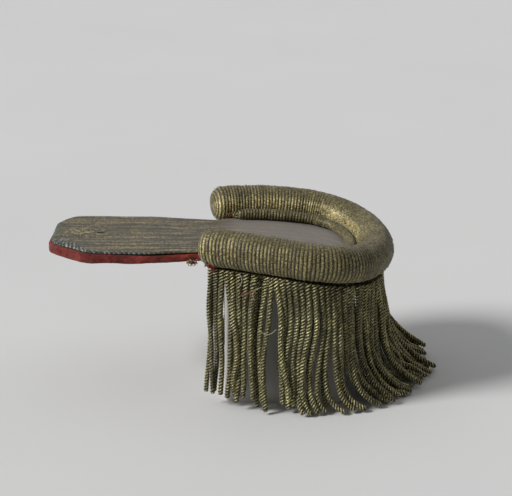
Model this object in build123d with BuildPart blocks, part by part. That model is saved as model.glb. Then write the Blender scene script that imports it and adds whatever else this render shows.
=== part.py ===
"""Fringed shoulder epaulette that stands on a plain block, its fringe hanging round the block.

+X runs along the strap, from the collar end to the rounded toe of the crescent, and +Z is up.
The origin is on the floor, at the centre of the block's foot, under the middle of the crescent.
The strap is flat. From the arms' ends on, the crescent curves down to the toe, as over a
shoulder: each layer there is a slab between two arcs about one centre, cut to its plan outline.
In plan the crescent is three arcs a side: a wide one at the toe, a tight one at the corner, and
a long one along the arm. A place on it is named by the direction of its outward normal, in
degrees from +X, and by an offset out from the roll's centre line. Depths are measured down from
the lace's upper face.
"""
import os
from collections import namedtuple
from math import asin, cos, degrees, pi, radians, sin, sqrt

from build123d import *

# Strap and overall size, in millimetres
strap_reach = 112.0
toe_reach = 50.6
strap_top = 73.0
arch_radius = 284.0
collar_half_width = 28.6
collar_wide_length = 45.5
collar_round = 13.0

# Plan of the crescent, along the roll's centre line
toe_radius = 56.9
toe_turn = 24.3
corner_radius = 30.7
corner_turn = 68.5
arm_radius = 140.0
arm_turn = 18.1

# Rolls
roll_radius = 8.7
roll_rise = 4.9
roll_end_round = 3.4
end_lip = 0.1
roll_sections = 20
inner_roll_radius = 2.5
inner_roll_end_round = 1.0
inner_roll_setback = 8.0

# Lace and cloth
lace_thickness = 1.0
lace_margin = 0.6
backing_thickness = 3.8
backing_edge_round = 1.3
flange_thickness = 1.2
buttonhole_inset = 23.0
buttonhole_aside = 1.3
buttonhole_length = 2.8
buttonhole_width = 1.3

# Fringe
head_offset = 2.4
head_thickness = 3.0
head_height = 5.0
strand_width = 2.6
strand_pitch = 3.3
strand_length = 61.0
strand_root = 3.0
turn_accuracy = 0.01

# Corners of the collar end: how far each lies from the middle, and how long its cut runs along the
# strap, as shares of the collar's half width
CollarCorner = namedtuple("CollarCorner", "side flat cut")
collar_corners = [
    CollarCorner(-1, 0.40, 0.59),
    CollarCorner(1, 0.44, 0.30),
]

# Lie of the fringe by plan angle: the way its tips point, the share of the drop that hangs straight, and
# the height of the tips over the floor as a share of the strands' length
Lie = namedtuple("Lie", "angle heading straight lift")
lie_table = [
    Lie(-110, -130, 1.00, 0.00),
    Lie(-96, -80, 0.97, 0.00),
    Lie(-85, -20, 0.88, 0.00),
    Lie(-72, -6, 0.78, 0.00),
    Lie(-60, 8, 0.66, 0.00),
    Lie(-45, 18, 0.56, 0.00),
    Lie(-25, 24, 0.50, 0.00),
    Lie(-8, 20, 0.46, 0.00),
    Lie(8, 14, 0.40, 0.00),
    Lie(20, 12, 0.24, 0.02),
    Lie(30, 9, 0.05, 0.07),
    Lie(42, 12, 0.05, 0.07),
    Lie(56, 32, 0.40, 0.00),
    Lie(72, 55, 0.75, 0.00),
    Lie(90, 75, 0.90, 0.00),
    Lie(110, 110, 1.00, 0.00),
]

# Support block
block_half_length = 28.5
block_half_width = 31.0
block_corner = 6.0

# Fits
gap = 0.3
ply_gap = 0.1
floor_clearance = 0.2

corner_start = toe_turn
arm_start = corner_start + corner_turn
arm_angle = arm_start + arm_turn
backing_top = lace_thickness + ply_gap
backing_bottom = backing_top + backing_thickness
under_roll = roll_radius + gap - roll_rise
flange_bottom = under_roll + flange_thickness
seat_offset = roll_radius
inner_roll_offset = roll_radius + inner_roll_radius + gap
head_inner = head_offset - head_thickness / 2
head_outer = head_offset + head_thickness / 2
head_bottom = under_roll + head_height
half_strand = strand_width / 2


def direction(angle):
    """Level unit vector at an angle from +X."""
    return Vector(cos(radians(angle)), sin(radians(angle)))


toe_centre = Vector(toe_reach - roll_radius - toe_radius, 0)
corner_centre = toe_centre + direction(corner_start) * (toe_radius - corner_radius)
arm_centre = corner_centre + direction(arm_start) * (corner_radius - arm_radius)

Arc = namedtuple("Arc", "centre radius start end")
plan_arcs = [
    Arc(toe_centre, toe_radius, 0.0, corner_start),
    Arc(corner_centre, corner_radius, corner_start, arm_start),
    Arc(arm_centre, arm_radius, arm_start, arm_angle),
]


def plan_point(angle, offset):
    """Plan point whose outward normal is at that angle. The near side has negative angles."""
    arc = next((arc for arc in plan_arcs if abs(angle) <= arc.end), plan_arcs[-1])
    point = arc.centre + direction(abs(angle)) * (arc.radius + offset)
    return Vector(point.X, point.Y if angle >= 0 else -point.Y)


def half_run(offset):
    """Length of the crescent at that offset, from the toe to an arm's end."""
    return sum(radians(arc.end - arc.start) * (arc.radius + offset) for arc in plan_arcs)


def angle_at(run, offset):
    """The outward normal's angle at a length from the toe along that offset."""
    rest = abs(run)
    for arc in plan_arcs:
        length = radians(arc.end - arc.start) * (arc.radius + offset)
        if rest <= length:
            break
        rest -= length
    angle = arc.start + degrees(min(rest, length) / (arc.radius + offset))
    return angle if run >= 0 else -angle


mouth_x = plan_point(arm_angle, 0).X
collar_x = -strap_reach
arch_centre_z = strap_top - arch_radius
arch_angle = degrees(asin((toe_reach - mouth_x) / (arch_radius - strap_top)))
waist_half_width = plan_point(arm_angle, -seat_offset).Y


def surface_height(x, depth):
    """Height at x of the surface that lies at that depth."""
    if x <= mouth_x:
        return strap_top - depth
    return arch_centre_z + sqrt((arch_radius - depth) ** 2 - (x - mouth_x) ** 2)


def side_layer(top, bottom, start=mouth_x - roll_radius):
    """Side outline between two depths: level to the mouth, then curving down past the toe."""
    centre = (mouth_x, arch_centre_z)
    with BuildLine() as outline:
        upper = CenterArc(centre, arch_radius - top, 90, -arch_angle)
        lower = CenterArc(centre, arch_radius - bottom, 90, -arch_angle)
        Line(upper @ 1, lower @ 1)
        Polyline(upper @ 0, (start, strap_top - top), (start, strap_top - bottom), lower @ 0)
    make_face(outline.edges())


def plan_half(offset):
    """The far half of the crescent's curve at an offset, from the toe to the arm's end."""
    for arc in plan_arcs:
        CenterArc((arc.centre.X, arc.centre.Y), arc.radius + offset, arc.start, arc.end - arc.start)


def crescent_area(offset):
    """Plan area inside the crescent at an offset, closed straight across the arms' ends."""
    end = plan_point(arm_angle, offset)
    with BuildLine() as outline:
        plan_half(offset)
        Line((end.X, end.Y), (end.X, 0))
        mirror(about=Plane.XZ)
    make_face(outline.edges())


def head_area():
    """Plan band of the fringe's head, cut square at the arms' ends."""
    inner_end = plan_point(arm_angle, head_inner)
    outer_end = plan_point(arm_angle, head_outer)
    with BuildLine() as outline:
        plan_half(head_inner)
        plan_half(head_outer)
        Line((inner_end.X, inner_end.Y), (outer_end.X, outer_end.Y))
        mirror(about=Plane.XZ)
    make_face(outline.edges())


def collar_side(corner, margin):
    """Points along one side of the strap, from its end round the cut corner to the mouth."""
    start = collar_x + margin
    wide = corner.side * (collar_half_width - margin)
    return [
        (start, corner.side * corner.flat * collar_half_width),
        (start + corner.cut * collar_half_width, wide),
        (start + collar_wide_length, wide),
        (mouth_x, corner.side * (waist_half_width - margin)),
    ]


def strap_area(margin):
    """Plan area of the strap up to the mouth, drawn in by a margin, with its rounded collar corners."""
    near, far = [collar_side(corner, margin) for corner in collar_corners]
    with BuildLine() as outline:
        FilletPolyline(*reversed(near), *far, radius=collar_round)
        Line(near[-1], far[-1])
    make_face(outline.edges())


def field_area(margin):
    """Plan area of the field between the rolls, with the neck that joins it to the strap."""
    crescent_area(-seat_offset)
    with Locations((mouth_x + roll_radius / 2, 0)):
        Rectangle(roll_radius, 2 * (waist_half_width - margin))


def section_planes(offset, depth, setback):
    """Planes square to a line that runs round the crescent, from the near arm's end to the far one's."""
    last = half_run(offset) - setback
    for k in range(roll_sections + 1):
        angle = angle_at(last * (2 * k / roll_sections - 1), offset)
        point = plan_point(angle, offset)
        height = surface_height(point.X, depth)
        slope = -max(point.X - mouth_x, 0.0) / (height - arch_centre_z)
        outward = direction(angle)
        tangent = Vector(-outward.Y, outward.X, -outward.Y * slope)
        yield Plane((point.X, point.Y, height), x_dir=outward, z_dir=tangent)


def cap_profile(radius, end_round, side):
    """Half outline of a roll's wound end, astride its last section and rounded to one side of it."""
    rim = radius + end_lip
    with BuildLine() as outline:
        rounding = CenterArc((rim - end_round, 0), end_round, 0, side * 90)
        Polyline(
            rounding @ 1,
            (0, side * end_round),
            (0, -side * end_round / 2),
            (rim, -side * end_round / 2),
            rounding @ 0,
        )
    make_face(outline.edges())


def wound_roll(offset, depth, setback, radius, end_round):
    """A roll along the crescent, its rounded wound ends a little wider than the rest."""
    planes = list(section_planes(offset, depth, setback + end_round))
    with BuildPart() as roll:
        for plane in planes:
            with BuildSketch(plane):
                Circle(radius)
        loft()
        for plane, side in ((planes[0], -1), (planes[-1], 1)):
            with BuildSketch(Plane(plane.origin, x_dir=plane.y_dir, z_dir=plane.x_dir)):
                cap_profile(radius, end_round, side)
            revolve(axis=Axis(plane.origin, plane.z_dir))
    return roll.part


def lie_at(angle):
    """The lie table read between its rows."""
    for low, high in zip(lie_table, lie_table[1:]):
        if angle <= high.angle:
            break
    share = min(max((angle - low.angle) / (high.angle - low.angle), 0.0), 1.0)
    return Lie(angle, *(a + (b - a) * share for a, b in zip(low[1:], high[1:])))


def bend_turn(length, height):
    """Angle that an arc of that length turns through, from straight down, to span the height."""
    low, high = 0.0, pi / 2
    while high - low > radians(turn_accuracy):
        middle = (low + high) / 2
        if length * sin(middle) > height * middle:
            low = middle
        else:
            high = middle
    return high


def strand_angles():
    """Plan angles of the strands, evenly spaced along the head."""
    last = half_run(head_offset) - half_strand - gap
    count = round(2 * last / strand_pitch)
    for k in range(count + 1):
        yield angle_at(last * (2 * k / count - 1), head_offset)


def strand_plane(lie):
    """Upright plane through the head's foot, with x pointing the way the tip lies and y up."""
    point = plan_point(lie.angle, head_offset)
    heading = direction(lie.heading)
    height = surface_height(point.X, head_bottom)
    return Plane((point.X, point.Y, height), x_dir=heading, z_dir=(heading.Y, -heading.X, 0))


def strand_profile(lie, height):
    """Side outline of one strand: straight down, then in an arc to its tip's height, and level there."""
    drop = height - floor_clearance - half_strand - lie.lift * strand_length
    if strand_length - drop < strand_width:
        end = -min(strand_length, drop + half_strand)
        with BuildLine() as outline:
            Polyline(
                (-half_strand, strand_root),
                (half_strand, strand_root),
                (half_strand, end),
                (-half_strand, end),
                close=True,
            )
    else:
        straight = min(lie.straight * drop, drop - strand_width)
        turn = bend_turn(strand_length - straight, drop - straight)
        bend = (drop - straight) / sin(turn)
        tail = Vector(strand_length - straight - bend * turn, 0)
        with BuildLine() as outline:
            inner = CenterArc((bend, -straight), bend - half_strand, 180, degrees(turn))
            outer = CenterArc((bend, -straight), bend + half_strand, 180, degrees(turn))
            Polyline(outer @ 0, (-half_strand, strand_root), (half_strand, strand_root), inner @ 0)
            if tail.X > gap:
                Polyline(inner @ 1, inner @ 1 + tail, outer @ 1 + tail, outer @ 1)
            else:
                Line(inner @ 1, outer @ 1)
    make_face(outline.edges())


side_depth = 2 * (corner_radius + collar_half_width)

with BuildPart() as strap_lace:
    with BuildSketch(Plane.XZ):
        side_layer(0, lace_thickness, collar_x)
    extrude(amount=side_depth, both=True)
    with BuildSketch():
        strap_area(lace_margin)
        field_area(lace_margin)
        with Locations((collar_x + buttonhole_inset, buttonhole_aside)):
            SlotOverall(buttonhole_length, buttonhole_width, mode=Mode.SUBTRACT)
    extrude(amount=strap_top + gap, mode=Mode.INTERSECT)
strap_lace.part.label = "strap_lace"

with BuildPart() as flange:
    with BuildSketch(Plane.XZ):
        side_layer(under_roll, flange_bottom)
    extrude(amount=side_depth, both=True)
    with BuildSketch():
        crescent_area(head_inner - gap)
    extrude(amount=strap_top + gap, mode=Mode.INTERSECT)

with BuildPart() as field_pad:
    with BuildSketch(Plane.XZ):
        side_layer(backing_top, backing_bottom)
    extrude(amount=side_depth, both=True)
    with BuildSketch():
        field_area(0)
    extrude(amount=strap_top + gap, mode=Mode.INTERSECT)

with BuildPart() as cloth_backing:
    with BuildSketch(Plane.XY.offset(strap_top - backing_bottom)):
        strap_area(0)
    extrude(amount=backing_thickness)
    foot = cloth_backing.faces().sort_by(Axis.Z)[0]
    rim = foot.edges().sort_by(Axis.X)[:-1]
    fillet(rim, radius=backing_edge_round)
    add(field_pad.part)
    add(flange.part)
cloth_backing.part.label = "cloth_backing"

with BuildPart() as crescent_roll:
    add(wound_roll(0, -roll_rise, 0, roll_radius, roll_end_round))
crescent_roll.part.label = "crescent_roll"

with BuildPart() as inner_roll:
    depth = -inner_roll_radius - gap
    add(wound_roll(-inner_roll_offset, depth, inner_roll_setback, inner_roll_radius, inner_roll_end_round))
inner_roll.part.label = "inner_roll"

with BuildPart() as fringe:
    with BuildSketch(Plane.XZ):
        side_layer(under_roll, head_bottom)
    extrude(amount=side_depth, both=True)
    with BuildSketch():
        head_area()
    extrude(amount=strap_top + gap, mode=Mode.INTERSECT)
    for angle in strand_angles():
        lie = lie_at(angle)
        plane = strand_plane(lie)
        with BuildSketch(plane):
            strand_profile(lie, plane.origin.Z)
    extrude(amount=half_strand, both=True)
fringe.part.label = "fringe"

with BuildPart() as support_block:
    with BuildSketch(Plane.XZ):
        side_layer(flange_bottom + gap, strap_top)
    extrude(amount=side_depth, both=True)
    with BuildSketch():
        RectangleRounded(2 * block_half_length, 2 * block_half_width, block_corner)
    extrude(amount=strap_top, mode=Mode.INTERSECT)
support_block.part.label = "support_block"

os.makedirs("parts", exist_ok=True)
for piece in (strap_lace, cloth_backing, crescent_roll, inner_roll, fringe, support_block):
    export_step(piece.part, f"parts/{piece.part.label}.step")
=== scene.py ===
"""Looks of a fringed epaulette on its support block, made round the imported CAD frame.

Lengths are in millimetres until a mesh is made, where MM turns them into metres. The plan of the
crescent, its arch and the levels of its layers are those of the CAD source. A place along the
crescent is a signed run from the toe, and an offset out from the roll's centre line.
"""
from collections import namedtuple

import bpy
import numpy as np
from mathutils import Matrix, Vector


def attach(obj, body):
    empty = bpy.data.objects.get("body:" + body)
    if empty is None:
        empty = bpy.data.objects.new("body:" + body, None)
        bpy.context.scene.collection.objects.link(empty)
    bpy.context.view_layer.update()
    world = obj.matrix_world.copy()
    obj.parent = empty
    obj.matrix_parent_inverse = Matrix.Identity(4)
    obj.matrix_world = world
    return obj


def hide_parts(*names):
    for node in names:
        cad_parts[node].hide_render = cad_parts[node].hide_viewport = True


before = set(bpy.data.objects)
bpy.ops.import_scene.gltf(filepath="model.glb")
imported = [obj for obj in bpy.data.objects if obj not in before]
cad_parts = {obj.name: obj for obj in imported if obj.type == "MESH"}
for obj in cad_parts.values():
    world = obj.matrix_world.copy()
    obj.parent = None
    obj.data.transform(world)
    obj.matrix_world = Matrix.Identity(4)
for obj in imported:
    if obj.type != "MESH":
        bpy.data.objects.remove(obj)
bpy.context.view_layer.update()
MM = 0.001

# Sizes of the CAD source, in millimetres
TOE_REACH, STRAP_TOP, ARCH_RADIUS = 50.6, 73.0, 284.0
COLLAR_X, COLLAR_HALF, COLLAR_WIDE, COLLAR_ROUND = -112.0, 28.6, 45.5, 13.0
ROLL_RADIUS, ROLL_RISE, ROLL_END_ROUND = 8.7, 4.9, 3.4
INNER_RADIUS, INNER_SETBACK = 2.5, 8.0
GAP = 0.3
SLOT_X, SLOT_Y, SLOT_LENGTH, SLOT_WIDTH = -89.0, 1.3, 2.8, 1.3
LACE_THICKNESS, LACE_MARGIN = 1.0, 0.6
CLOTH_TOP, CLOTH_BOTTOM = 1.1, 4.9
UNDER_ROLL, FLANGE_BOTTOM = 4.1, 5.3
HEAD_OFFSET, HEAD_HEIGHT = 2.4, 5.0
BLOCK_HALF = (28.5, 31.0)
FLOOR_CLEARANCE = 0.2

# Cut corners of the strap's end, near and far, as shares of its half width. They follow the
# photograph and differ a little from the CAD's.
CollarCorner = namedtuple("CollarCorner", "flat cut")
COLLAR_CORNERS = [CollarCorner(0.50, 0.68), CollarCorner(0.50, 0.26)]

# Arcs of the roll's centre line, as in the CAD source
Arc = namedtuple("Arc", "x y radius start end")
TOE_RADIUS, CORNER_RADIUS, ARM_RADIUS = 56.9, 30.7, 140.0
TOE_TURN, CORNER_TURN, ARM_TURN = np.radians((24.3, 68.5, 18.1))


def plan_arcs():
    """The far half of the roll's centre line: toe, corner and arm, each tangent to the next."""
    x, y, radius, start = TOE_REACH - ROLL_RADIUS - TOE_RADIUS, 0.0, TOE_RADIUS, 0.0
    arcs = []
    for next_radius, turn in ((CORNER_RADIUS, TOE_TURN), (ARM_RADIUS, CORNER_TURN), (None, ARM_TURN)):
        end = start + turn
        arcs.append(Arc(x, y, radius, start, end))
        if next_radius:
            x += np.cos(end) * (radius - next_radius)
            y += np.sin(end) * (radius - next_radius)
            radius, start = next_radius, end
    return arcs


ARCS = plan_arcs()


def half_run(offset):
    """Length from the toe to an arm's end along an offset of the roll's line."""
    return sum((arc.end - arc.start) * (arc.radius + offset) for arc in ARCS)


def plan(run, offset=0.0):
    """Plan x and y, and the outward normal's angle, at signed runs from the toe along an offset."""
    run = np.atleast_1d(np.asarray(run, float))
    rest = np.abs(run)
    x, y, angle = (np.zeros_like(rest) for _ in range(3))
    todo = np.ones(rest.shape, bool)
    for arc in ARCS:
        length = (arc.end - arc.start) * (arc.radius + offset)
        here = todo & ((rest <= length) | (arc is ARCS[-1]))
        angle[here] = arc.start + rest[here] / (arc.radius + offset)
        x[here] = arc.x + np.cos(angle[here]) * (arc.radius + offset)
        y[here] = arc.y + np.sin(angle[here]) * (arc.radius + offset)
        todo &= ~here
        rest = rest - length
    side = np.where(run < 0, -1.0, 1.0)
    return x, y * side, angle * side


MOUTH_X = plan(half_run(0))[0][0]
WAIST = plan(half_run(-ROLL_RADIUS), -ROLL_RADIUS)[1][0]


def height(x, depth=0.0):
    """Height of the surface that lies at that depth under the lace."""
    reach = np.maximum(np.asarray(x, float) - MOUTH_X, 0.0)
    return STRAP_TOP - ARCH_RADIUS + np.sqrt((ARCH_RADIUS - depth) ** 2 - reach**2)


def rise(value, low, high):
    """0 below low, 1 above high, and smooth between them."""
    t = np.clip((value - low) / (high - low), 0.0, 1.0)
    return t * t * (3 - 2 * t)


def evenly(rows, step):
    """Points every step along a line of rows, and the length along it at each."""
    run = np.concatenate([[0], np.cumsum(np.linalg.norm(np.diff(rows, axis=0), axis=1))])
    at = np.arange(0, run[-1], step)
    return np.stack([np.interp(at, run, column) for column in rows.T], -1), at


def wave_noise(points, scale, seed):
    """Smooth noise of about -1 to 1 at points, as a sum of seeded plane waves of that size."""
    rng = np.random.default_rng(seed)
    total = np.zeros(len(points))
    for _ in range(9):
        way = rng.normal(size=3)
        way /= np.linalg.norm(way)
        length = scale * rng.uniform(0.7, 1.8)
        total += np.sin(points @ way * 2 * np.pi / length + rng.uniform(0, 2 * np.pi))
    return total / 3.0


# Materials


def material(name, roughness, metallic=0.0, sheen=0.0):
    """A new node material, with its node tree and shader."""
    made = bpy.data.materials.new(name)
    made.use_nodes = True
    tree = made.node_tree
    shader = tree.nodes["Principled BSDF"]
    shader.inputs["Roughness"].default_value = roughness
    shader.inputs["Metallic"].default_value = metallic
    shader.inputs["Sheen Weight"].default_value = sheen
    return made, tree, shader


def linear(red, green, blue):
    """Shader colour from a screen colour of 0 to 255."""
    share = np.array((red, green, blue)) / 255
    value = np.where(share <= 0.04045, share / 12.92, ((share + 0.055) / 1.055) ** 2.4)
    return (*value.tolist(), 1.0)


def noise(tree, scale, detail, stretch=None):
    """Noise at so many grains a metre, stretched by x, y and z factors."""
    place = tree.nodes.new("ShaderNodeTexCoord").outputs["Object"]
    if stretch:
        mapping = tree.nodes.new("ShaderNodeMapping")
        mapping.inputs["Scale"].default_value = stretch
        tree.links.new(place, mapping.inputs["Vector"])
        place = mapping.outputs["Vector"]
    made = tree.nodes.new("ShaderNodeTexNoise")
    made.inputs["Scale"].default_value = scale
    made.inputs["Detail"].default_value = detail
    tree.links.new(place, made.inputs["Vector"])
    return made.outputs["Fac"]


def ramp(tree, value, stops):
    """Colour ramp over a value, from rows of position and colour."""
    made = tree.nodes.new("ShaderNodeValToRGB")
    elements = made.color_ramp.elements
    while len(elements) < len(stops):
        elements.new(0.5)
    for element, (position, colour) in zip(elements, stops):
        element.position = position
        element.color = colour
    tree.links.new(value, made.inputs["Fac"])
    return made.outputs["Color"]


def mix(tree, share, first, second, blend="MIX"):
    """Two colours mixed by a share, each a value or another node's output."""
    made = tree.nodes.new("ShaderNodeMix")
    made.data_type = "RGBA"
    made.blend_type = blend
    for socket, value in ((made.inputs[0], share), (made.inputs[6], first), (made.inputs[7], second)):
        if isinstance(value, bpy.types.NodeSocket):
            tree.links.new(value, socket)
        else:
            socket.default_value = value
    return made.outputs[2]


def times(tree, colour, value, stops):
    """A colour multiplied by a ramp over a value."""
    return mix(tree, 1.0, colour, ramp(tree, value, stops), "MULTIPLY")


def attribute(tree, name):
    """The value of a mesh attribute."""
    made = tree.nodes.new("ShaderNodeAttribute")
    made.attribute_name = name
    return made.outputs["Fac"]


def surface(tree, shader, colour, heights):
    """A shader's colour, and its bump from rows of value, strength and depth in metres."""
    tree.links.new(colour, shader.inputs["Base Color"])
    normal = None
    for value, strength, depth in heights:
        made = tree.nodes.new("ShaderNodeBump")
        made.inputs["Strength"].default_value = strength
        made.inputs["Distance"].default_value = depth
        tree.links.new(value, made.inputs["Height"])
        if normal:
            tree.links.new(normal, made.inputs["Normal"])
        normal = made.outputs["Normal"]
    tree.links.new(normal, shader.inputs["Normal"])


def cord_material(name, colours, dimmest, roughness, metallic, grooves, wound=False):
    """Tarnished metal thread: near black in the grooves, rubbed pale on the crests, a little patchy.

    Where it is wound on a roll, a painted light value above 0.5 brightens it as a painted highlight, and one
    below 0.5 dims it as painted shade.
    """
    made, tree, shader = material(name, roughness=roughness, metallic=metallic, sheen=0.1)
    patches = noise(tree, 70, 3)
    speckle = noise(tree, 1200, 2)
    fine = noise(tree, 2000, 2)
    low, high = dimmest, 2.1 - dimmest
    rubbed = [(0.4, (low, low, 0.9 * low, 1)), (0.6, (high, high, 0.95 * high, 1))]
    grains = [(0.4, (0.5, 0.49, 0.45, 1)), (0.6, (1.5, 1.5, 1.45, 1))]
    tones = [(0.0, (0.68, 0.68, 0.7, 1)), (1.0, (1.32, 1.32, 1.28, 1))]
    colour = ramp(tree, patches, list(zip((0.32, 0.5, 0.7), colours)))
    colour = times(tree, colour, speckle, rubbed)
    colour = times(tree, colour, fine, grains)
    colour = times(tree, colour, attribute(tree, "crest"), grooves)
    colour = times(tree, colour, attribute(tree, "tone"), tones)
    if wound:
        # Painted highlight and painted shade on the rolls, from a mesh value that wound_roll sets
        painted_light = [(0.0, (0.5, 0.5, 0.52, 1)), (0.5, (1, 1, 1, 1)), (1.0, (2.1, 2.1, 2.25, 1))]
        colour = times(tree, colour, attribute(tree, "painted_light"), painted_light)
    surface(tree, shader, colour, [(speckle, 0.5, 0.0002), (fine, 0.5, 0.0001)])
    return made


def braid_colour(tree, grain):
    """Dark braid, with pale slanting flecks where the hatch value's sine is high."""
    phase = tree.nodes.new("ShaderNodeMath")
    phase.operation = "SINE"
    tree.links.new(attribute(tree, "hatch"), phase.inputs[0])
    flecks = tree.nodes.new("ShaderNodeMath")
    flecks.operation = "MULTIPLY_ADD"
    tree.links.new(phase.outputs[0], flecks.inputs[0])
    flecks.inputs[1].default_value = 0.16
    tree.links.new(grain, flecks.inputs[2])
    stops = [(0.4, linear(26, 28, 24)), (0.56, linear(66, 72, 62)), (0.74, linear(146, 148, 132))]
    return ramp(tree, flecks.outputs[0], stops)


def lace_material():
    """Worn flat-woven metal lace with lengthwise lines, its near edge dark and its end rubbed to straw."""
    made, tree, shader = material("lace_weave", roughness=0.55, metallic=0.2, sheen=0.15)
    lines = noise(tree, 480, 2, stretch=(0.05, 1.0, 1.0))
    fine_lines = noise(tree, 1100, 2, stretch=(0.1, 1.0, 1.0))
    cross = noise(tree, 900, 2, stretch=(1.0, 0.4, 1.0))
    patches = noise(tree, 60, 5)
    tints = noise(tree, 260, 2, stretch=(0.08, 1.0, 1.0))
    weave = [(0.4, linear(66, 57, 38)), (0.5, linear(86, 77, 52)), (0.6, linear(114, 103, 72))]
    worn = [(0.35, (0.76, 0.74, 0.72, 1)), (0.65, (1.16, 1.16, 1.14, 1))]
    tinge = [(0.3, (0.96, 1.03, 0.94, 1)), (0.5, (1, 1, 1, 1)), (0.7, (1.06, 0.98, 0.99, 1))]
    warp = [(0.4, (0.62, 0.62, 0.62, 1)), (0.6, (1.4, 1.4, 1.38, 1))]
    weft = [(0.4, (0.6, 0.6, 0.61, 1)), (0.6, (1.38, 1.38, 1.34, 1))]
    colour = ramp(tree, lines, weave)
    colour = times(tree, colour, patches, worn)
    colour = times(tree, colour, tints, tinge)
    colour = times(tree, colour, fine_lines, warp)
    colour = times(tree, colour, cross, weft)
    colour = mix(tree, attribute(tree, "faded"), colour, linear(124, 116, 108))
    straw = ramp(tree, cross, [(0.35, linear(84, 75, 48)), (0.6, linear(160, 150, 112))])
    colour = mix(tree, attribute(tree, "straw"), colour, straw)
    green = ramp(tree, cross, [(0.4, linear(50, 66, 50)), (0.6, linear(88, 108, 82))])
    colour = mix(tree, attribute(tree, "green"), colour, green)
    braid = braid_colour(tree, cross)
    colour = mix(tree, attribute(tree, "stain"), colour, braid)
    # Painted shade, near black, in and round the slit
    colour = mix(tree, attribute(tree, "slit"), colour, linear(16, 12, 8))
    reliefs = [(lines, 0.6, 0.0004), (fine_lines, 0.6, 0.0002), (cross, 0.5, 0.0001)]
    surface(tree, shader, colour, reliefs)
    return made


def cloth_material():
    """Fulled red wool, faded, with pale rubbed fibres."""
    made, tree, shader = material("red_wool", roughness=0.95, sheen=0.12)
    patches = noise(tree, 160, 5)
    fibres = noise(tree, 900, 4, stretch=(0.6, 1.0, 1.0))
    reds = [(0.3, linear(78, 19, 12)), (0.52, linear(107, 33, 24)), (0.72, linear(138, 58, 47))]
    rubbed = [(0.3, (0.5, 0.5, 0.5, 1)), (0.7, (1.5, 1.4, 1.35, 1))]
    colour = ramp(tree, patches, reds)
    colour = times(tree, colour, fibres, rubbed)
    colour = mix(tree, attribute(tree, "shade"), colour, linear(14, 8, 6))
    surface(tree, shader, colour, [(patches, 0.5, 0.001), (fibres, 0.8, 0.0003)])
    return made


def block_material():
    """Smooth matt grey, with a faint mottling."""
    made, tree, shader = material("grey_block_paint", roughness=0.8)
    mottle = noise(tree, 40, 4)
    grain = noise(tree, 1800, 2)
    colour = ramp(tree, mottle, [(0.3, linear(168, 165, 160)), (0.7, linear(180, 177, 172))])
    surface(tree, shader, colour, [(grain, 0.25, 0.0001)])
    return made


def thread_material(name, colour):
    """A single loose thread's colour, uneven along it."""
    made, tree, shader = material(name, roughness=0.7, sheen=0.2)
    uneven = noise(tree, 900, 2)
    dim = tuple(0.55 * c for c in colour[:3]) + (1.0,)
    surface(tree, shader, ramp(tree, uneven, [(0.3, dim), (0.7, colour)]), [(uneven, 0.4, 0.0001)])
    return made


CORD = cord_material(
    "wound_cord", (linear(88, 81, 54), linear(101, 93, 65), linear(116, 108, 80)),
    dimmest=0.62, roughness=0.6, metallic=0.25, wound=True,
    grooves=[(0.0, (0.03, 0.022, 0.01, 1)), (0.5, (0.28, 0.27, 0.21, 1)), (1.0, (1.75, 1.75, 1.72, 1))],
)
STRAND = cord_material(
    "twisted_cord", (linear(116, 110, 82), linear(138, 132, 100), linear(164, 158, 124)),
    dimmest=0.42, roughness=0.5, metallic=0.35,
    grooves=[(0.0, (0.04, 0.035, 0.02, 1)), (0.5, (0.42, 0.41, 0.33, 1)), (1.0, (2.1, 2.1, 2.04, 1))],
)
LACE = lace_material()
RED = cloth_material()
PALE_THREAD = thread_material("pale_thread", linear(190, 182, 148))
RUST_THREAD = thread_material("rust_thread", linear(140, 88, 62))
OLIVE_THREAD = thread_material("olive_thread", linear(158, 150, 100))
STRAW_THREAD = thread_material("straw_thread", linear(168, 159, 124))


# Meshes


def linked(name, data):
    """A new object in the scene."""
    made = bpy.data.objects.new(name, data)
    bpy.context.scene.collection.objects.link(made)
    return made


def piece(name, points, faces, skin, stands_for=(), values=None):
    """A smooth mesh piece from points in millimetres, riding on the one body."""
    mesh = bpy.data.meshes.new(name)
    mesh.from_pydata((np.asarray(points) * MM).tolist(), [], [f.tolist() for group in faces for f in group])
    for key, value in (values or {}).items():
        mesh.attributes.new(key, "FLOAT", "POINT").data.foreach_set("value", np.asarray(value, np.float32))
    mesh.shade_smooth()
    mesh.materials.append(skin)
    made = linked(name, mesh)
    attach(made, "root")
    if stands_for:
        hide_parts(*stands_for)
    return made


def tube_faces(rings, around, first=0):
    """Quads round a run of closed rings, and end fans to two more points after them."""
    ring = np.arange(rings - 1)[:, None] * around + first
    side = np.arange(around)[None, :]
    turn = (side + 1) % around
    corners = [ring + side, ring + turn, ring + around + turn, ring + around + side]
    quads = np.stack(corners, -1).reshape(-1, 4)
    low, high = first + rings * around, first + rings * around + 1
    last = first + (rings - 1) * around
    k = np.arange(around)
    after = (k + 1) % around
    start_fan = np.stack([np.full(around, low), first + after, first + k], -1)
    end_fan = np.stack([np.full(around, high), last + k, last + after], -1)
    return [quads, start_fan, end_fan]


def thread_rings(path, radius, around):
    """Rings of a fine thread along a path, then its two end points."""
    tangent = np.gradient(path, axis=0)
    tangent /= np.linalg.norm(tangent, axis=1)[:, None]
    across = np.cross(tangent[0], (0.31, 0.52, 0.79))
    turn = np.linspace(0, 2 * np.pi, around, endpoint=False)
    rings = []
    for point, way in zip(path, tangent):
        across = across - (across @ way) * way
        across /= np.linalg.norm(across)
        other = np.cross(way, across)
        rings.append(point + radius * (np.outer(np.cos(turn), across) + np.outer(np.sin(turn), other)))
    return np.vstack([*rings, path[0] - tangent[0] * radius, path[-1] + tangent[-1] * radius])


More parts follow.
